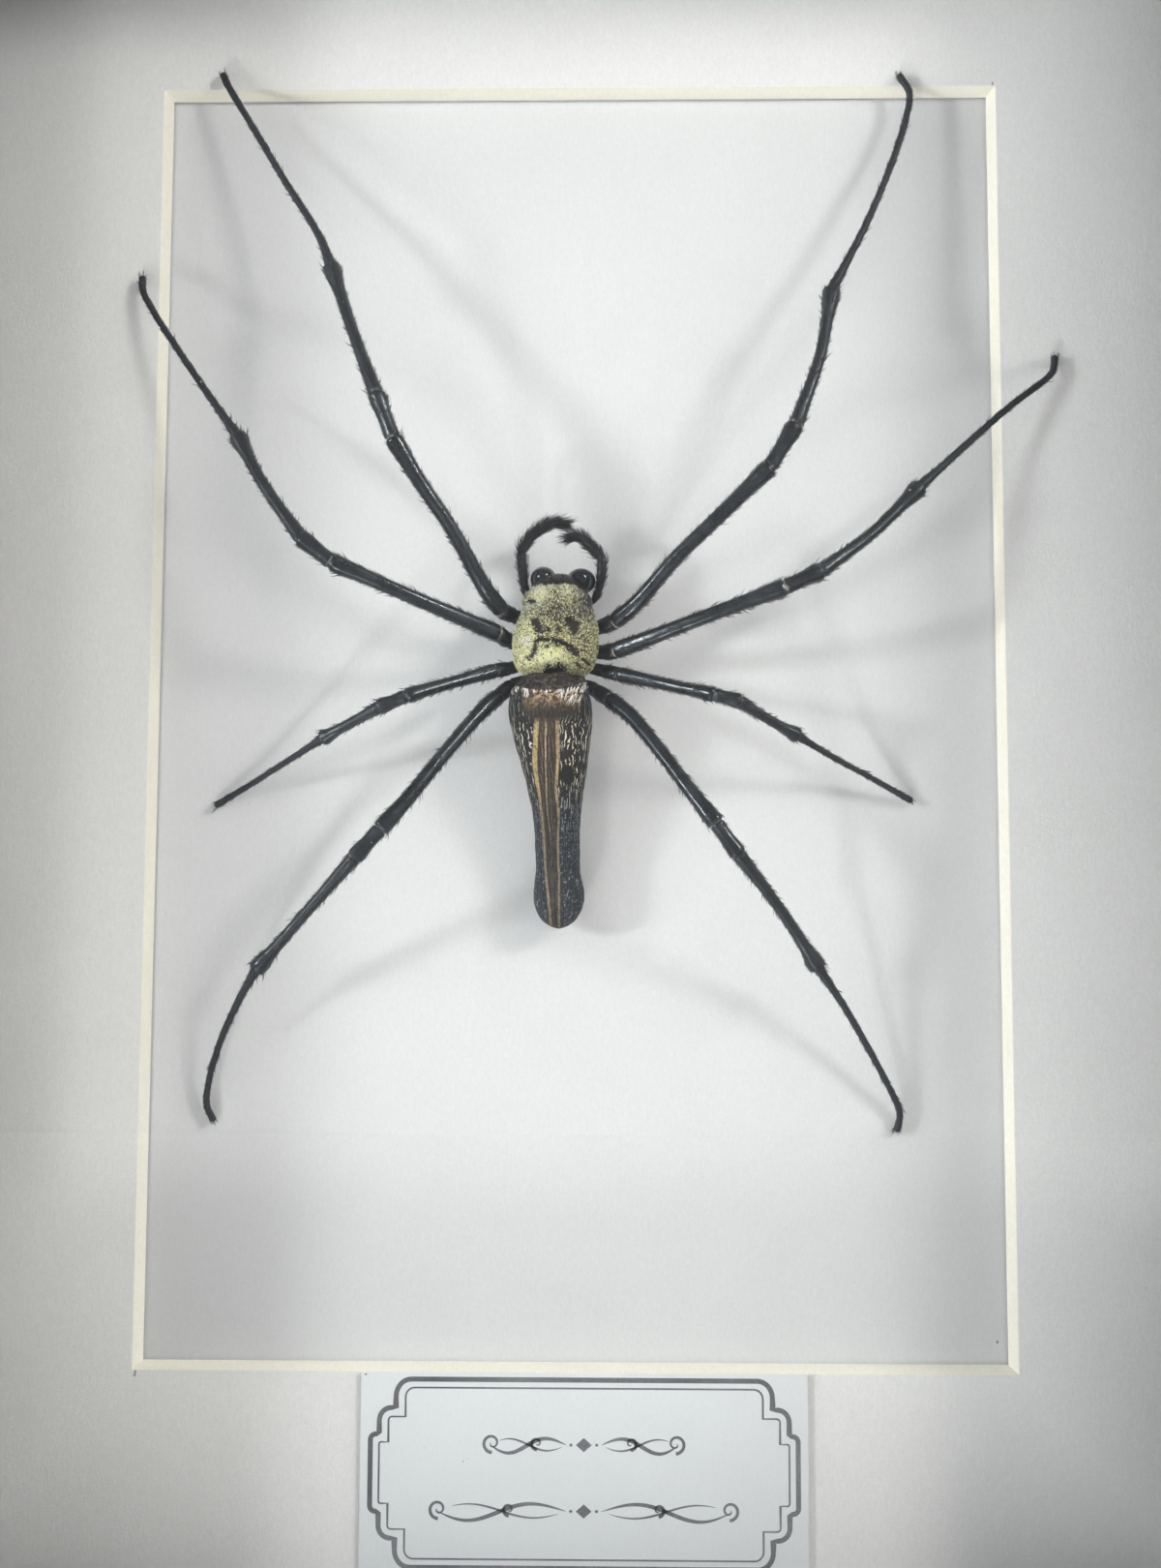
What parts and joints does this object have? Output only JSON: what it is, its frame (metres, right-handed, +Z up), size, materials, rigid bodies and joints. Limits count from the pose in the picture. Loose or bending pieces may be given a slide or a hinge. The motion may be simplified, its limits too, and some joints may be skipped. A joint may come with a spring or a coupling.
{
  "type": "framed orb weaver spider",
  "caption": "Deep black glazed box frame with a dried, long-legged golden spider spread over the bevelled window of a pale mount board, above an ornamental label card.",
  "frame": {"origin": "on the lower edge of the frame, at the middle of its width and depth", "axes": "+Z up along the frame's height, +Y from the glass to the back, +X to the right of a viewer in front"},
  "size_m": [0.168, 0.035, 0.218],
  "materials": {
    "black_moulding": "black painted wood, satin",
    "clear_glass": "clear and polished",
    "black_spacer": "matt black",
    "mount_board_white": "matt off-white paper over a cream core",
    "white_card": "matt white",
    "brown_board": "bare brown hardboard",
    "label_card": "smooth white card printed in grey",
    "zinc_steel": "dull zinc plate",
    "dried_glue": "dried clear glue",
    "golden_shield": "dull shell under short golden hairs",
    "striped_skin": "dried wrinkled skin, brown and black with ochre stripes",
    "black_shell": "glossy black shell"
  },
  "bodies": {
    "root": {"frame_top_rail": "black_moulding", "frame_bottom_rail": "black_moulding", "frame_left_rail": "black_moulding", "frame_right_rail": "black_moulding", "glass_pane": "clear_glass", "spacer_top": "black_spacer", "spacer_bottom": "black_spacer", "spacer_left": "black_spacer", "spacer_right": "black_spacer", "mount_board": "mount_board_white", "backing_card": "white_card", "back_board": "brown_board", "name_label": "label_card", "retaining_tab_1": "zinc_steel", "retaining_tab_2": "zinc_steel", "retaining_tab_3": "zinc_steel", "retaining_tab_4": "zinc_steel", "retaining_tab_5": "zinc_steel", "retaining_tab_6": "zinc_steel", "retaining_tab_7": "zinc_steel", "retaining_tab_8": "zinc_steel", "hanger_plate": "zinc_steel", "hanger_rivet_left": "zinc_steel", "hanger_rivet_right": "zinc_steel", "glue_dab": "dried_glue", "cephalothorax": "golden_shield", "abdomen": "striped_skin", "left_chelicera": "black_shell", "right_chelicera": "black_shell", "left_palp": "black_shell", "right_palp": "black_shell", "left_leg_1": "black_shell", "left_leg_2": "black_shell", "left_leg_3": "black_shell", "left_leg_4": "black_shell", "right_leg_1": "black_shell", "right_leg_2": "black_shell", "right_leg_3": "black_shell", "right_leg_4": "black_shell"}
  },
  "joints": []
}
